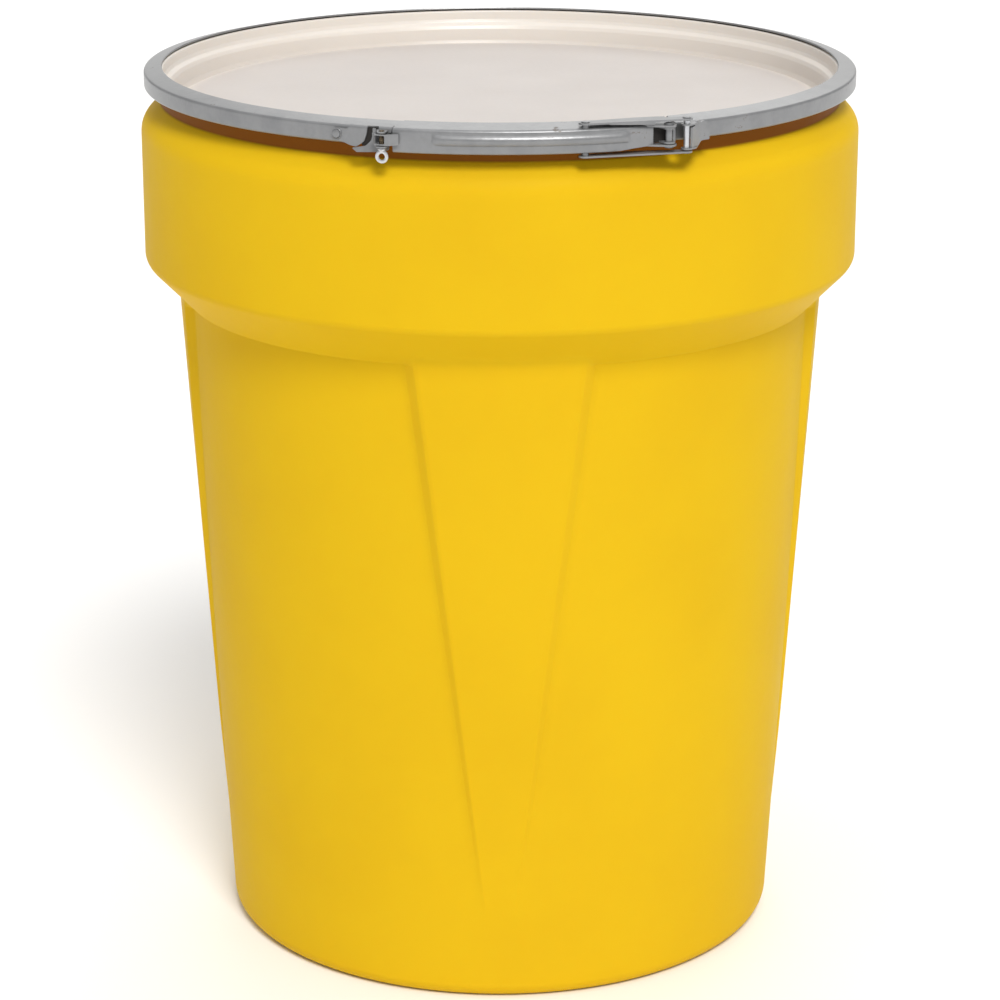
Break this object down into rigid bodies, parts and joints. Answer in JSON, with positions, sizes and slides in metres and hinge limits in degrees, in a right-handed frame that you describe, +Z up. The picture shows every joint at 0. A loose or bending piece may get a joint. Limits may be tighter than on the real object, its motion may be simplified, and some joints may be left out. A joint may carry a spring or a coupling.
{
  "type": "overpack salvage drum",
  "caption": "Tapered plastic overpack drum with a wide collar, raised wedge panels, a recessed plug lid and a split steel closure ring with an over-centre lever and a lock pin.",
  "frame": {"origin": "centre of the base, on the floor", "axes": "+Z up along the drum's axis; the lever and its catch face -Y"},
  "size_m": [0.56, 0.5629, 0.7006],
  "materials": {
    "yellow_plastic": "moulded polyethylene, satin, faint mottling",
    "natural_plastic": "moulded natural polyethylene, satin, slightly translucent",
    "seal_rubber": "closed-cell seal",
    "grey_paint": "grey enamel over roll-formed steel",
    "zinc_plate": "bright zinc plate"
  },
  "bodies": {
    "drum": {"drum_shell": "yellow_plastic"},
    "lid": {"lid": "natural_plastic", "lid_gasket": "seal_rubber"},
    "ring_back": {"ring_arc_back": "grey_paint"},
    "ring_left_mid": {"ring_arc_left_back": "grey_paint"},
    "ring_left_end": {"ring_arc_left_front": "grey_paint", "lever_bracket": "grey_paint", "catch_plate": "grey_paint", "catch_rivet": "grey_paint"},
    "ring_right_mid": {"ring_arc_right_back": "grey_paint"},
    "ring_right_end": {"ring_arc_right_front": "grey_paint", "anchor_bracket": "grey_paint", "anchor_pin": "zinc_plate"},
    "lever": {"lever": "grey_paint", "lever_pin": "grey_paint", "lock_staple": "grey_paint"},
    "links": {"link_upper": "grey_paint", "link_lower": "grey_paint", "lever_rivet_upper": "grey_paint", "lever_rivet_lower": "grey_paint", "anchor_rivet_upper": "grey_paint", "anchor_rivet_lower": "grey_paint"},
    "lock_pin": {"lock_pin": "zinc_plate"}
  },
  "joints": [
    {"name": "lever_swing", "type": "hinge", "parent": "ring_left_end", "child": "lever", "pos_m": [0.11932, -0.25706, 0.6883], "axis": [0, 0, 1], "range_deg": [0, 180]},
    {"name": "link_fold", "type": "hinge", "parent": "lever", "child": "links", "pos_m": [0.05995, -0.27043, 0.6883], "axis": [0, 0, -1], "range_deg": [0, 142]},
    {"name": "ring_shift", "type": "slide", "parent": "drum", "child": "ring_back", "axis": [-0.4478, 0.8942, 0], "range_m": [0, 0.0181]},
    {"name": "ring_flex_left_back", "type": "hinge", "parent": "ring_back", "child": "ring_left_mid", "pos_m": [-0.24557, 0.12729, 0.6883], "axis": [0, 0, -1], "range_deg": [0, 4.42]},
    {"name": "ring_flex_left_front", "type": "hinge", "parent": "ring_left_mid", "child": "ring_left_end", "pos_m": [-0.19695, -0.19422, 0.6883], "axis": [0, 0, -1], "range_deg": [0, 4.42]},
    {"name": "ring_flex_right_back", "type": "hinge", "parent": "ring_back", "child": "ring_right_mid", "pos_m": [0.04518, 0.27289, 0.6883], "axis": [0, 0, 1], "range_deg": [0, 4.42]},
    {"name": "ring_flex_right_front", "type": "hinge", "parent": "ring_right_mid", "child": "ring_right_end", "pos_m": [0.27349, 0.04136, 0.6883], "axis": [0, 0, 1], "range_deg": [0, 4.42]},
    {"name": "lock_pin_draw", "type": "slide", "parent": "ring_left_end", "child": "lock_pin", "axis": [0, 0, -1], "range_m": [0, 0.02]},
    {"name": "lid_lift", "type": "slide", "parent": "drum", "child": "lid", "axis": [0, 0, 1], "range_m": [0, 0.35]}
  ],
  "couplings": [
    {"joint": "link_fold", "follows": "lever_swing", "ratio": 0.78792},
    {"joint": "ring_shift", "follows": "lever_swing", "m_per_rad": 0.00573},
    {"joint": "ring_flex_left_back", "follows": "lever_swing", "ratio": 0.02449},
    {"joint": "ring_flex_left_front", "follows": "lever_swing", "ratio": 0.02449},
    {"joint": "ring_flex_right_back", "follows": "lever_swing", "ratio": 0.02449},
    {"joint": "ring_flex_right_front", "follows": "lever_swing", "ratio": 0.02449}
  ]
}
